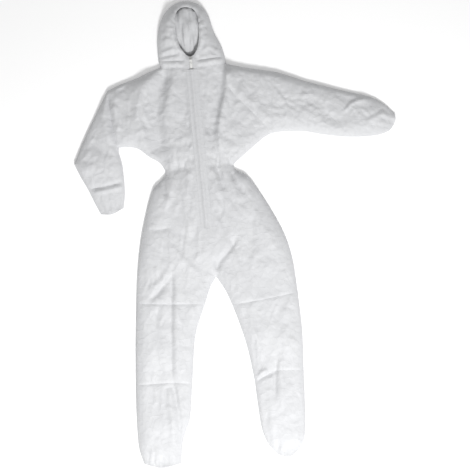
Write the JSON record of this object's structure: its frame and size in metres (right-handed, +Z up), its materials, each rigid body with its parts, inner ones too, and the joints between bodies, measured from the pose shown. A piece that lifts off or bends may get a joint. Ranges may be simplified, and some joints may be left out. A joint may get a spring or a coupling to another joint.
{
  "type": "chemical protective suit",
  "caption": "Disposable hooded protective coverall laid flat, with a zip under a storm flap and elastic at face, waist, wrists and ankles.",
  "frame": {"origin": "centre of the waist, on the surface that the suit lies on", "axes": "+Y up the zip to the hood, +X to the wearer's left, +Z up out of the front of the suit"},
  "size_m": [1.3468, 1.8931, 0.064],
  "materials": {
    "nonwoven": "matt white point-bonded nonwoven",
    "elastic": "gathered white elastic",
    "zip_tape": "woven white polyester",
    "zip_plastic": "white nylon",
    "adhesive_liner": "waxed release paper"
  },
  "bodies": {
    "torso": {"back_panel": "nonwoven", "front_right": "nonwoven", "front_left": "nonwoven", "crotch_gusset": "nonwoven", "collar_band": "nonwoven", "waist_elastic": "elastic", "zip_tape_right": "zip_tape", "zip_tape_left": "zip_tape", "zip_teeth_right": "zip_plastic", "zip_teeth_left": "zip_plastic", "zip_top_stop_right": "zip_plastic", "zip_top_stop_left": "zip_plastic", "zip_bottom_stop": "zip_plastic"},
    "hood": {"hood_centre": "nonwoven", "hood_right": "nonwoven", "hood_left": "nonwoven", "face_elastic": "elastic"},
    "zip_slider": {"slider_body": "zip_plastic"},
    "zip_pull": {"pull_tab": "zip_plastic"},
    "flap": {"storm_flap": "nonwoven", "flap_adhesive_strip": "adhesive_liner"},
    "left_upper_arm": {"left_sleeve_upper_back": "nonwoven", "left_sleeve_upper_front": "nonwoven"},
    "left_forearm": {"left_sleeve_lower_back": "nonwoven", "left_sleeve_lower_front": "nonwoven", "left_wrist_elastic": "elastic"},
    "right_upper_arm": {"right_sleeve_upper_back": "nonwoven", "right_sleeve_upper_front": "nonwoven"},
    "right_forearm": {"right_sleeve_lower_back": "nonwoven", "right_sleeve_lower_front": "nonwoven", "right_wrist_elastic": "elastic"},
    "right_thigh": {"right_thigh_back": "nonwoven", "right_thigh_front": "nonwoven"},
    "right_shin": {"right_shin_back": "nonwoven", "right_shin_front": "nonwoven", "right_ankle_elastic": "elastic"},
    "left_thigh": {"left_thigh_back": "nonwoven", "left_thigh_front": "nonwoven"},
    "left_shin": {"left_shin_back": "nonwoven", "left_shin_front": "nonwoven", "left_ankle_elastic": "elastic"}
  },
  "joints": [
    {"name": "hood_fold", "type": "hinge", "parent": "torso", "child": "hood", "pos_m": [0, 0.4493, 0.05], "axis": [1, 0, 0], "range_deg": [0, 160]},
    {"name": "left_shoulder", "type": "hinge", "parent": "torso", "child": "left_upper_arm", "pos_m": [0.24, 0.265, 0.02], "axis": [0, 0, 1], "range_deg": [-32, 20]},
    {"name": "left_elbow", "type": "hinge", "parent": "left_upper_arm", "child": "left_forearm", "pos_m": [0.45764, 0.2079, 0.02], "axis": [0, 0, 1], "range_deg": [-25, 60]},
    {"name": "right_shoulder", "type": "hinge", "parent": "torso", "child": "right_upper_arm", "pos_m": [-0.354, 0.353, 0.02], "axis": [0, 0, 1], "range_deg": [-30, 0]},
    {"name": "right_elbow", "type": "hinge", "parent": "right_upper_arm", "child": "right_forearm", "pos_m": [-0.421, 0.044, 0.02], "axis": [0, 0, 1], "range_deg": [-34, 30]},
    {"name": "right_hip", "type": "hinge", "parent": "torso", "child": "right_thigh", "pos_m": [-0.147, -0.32, 0.02], "axis": [0, 0, 1], "range_deg": [-12, 0]},
    {"name": "right_knee_fold", "type": "hinge", "parent": "right_thigh", "child": "right_shin", "pos_m": [-0.23687, -0.86291, 0.029], "axis": [-0.9904, 0.1383, 0], "range_deg": [0, 165]},
    {"name": "left_hip", "type": "hinge", "parent": "torso", "child": "left_thigh", "pos_m": [0.177, -0.32, 0.02], "axis": [0, 0, 1], "range_deg": [0, 12]},
    {"name": "left_knee_fold", "type": "hinge", "parent": "left_thigh", "child": "left_shin", "pos_m": [0.23643, -0.86708, 0.029], "axis": [-0.996, -0.0889, 0], "range_deg": [0, 165]},
    {"name": "flap_open", "type": "hinge", "parent": "torso", "child": "flap", "pos_m": [-0.022, 0, 0.0471], "axis": [0, 1, 0], "range_deg": [-150, 0]},
    {"name": "zip_slide", "type": "slide", "parent": "torso", "child": "zip_slider", "axis": [0, -1, 0], "range_m": [0, 0.65]},
    {"name": "zip_tab", "type": "hinge", "parent": "zip_slider", "child": "zip_pull", "pos_m": [0, 0.4304, 0.0487], "axis": [1, 0, 0], "range_deg": [-170, 0]}
  ]
}
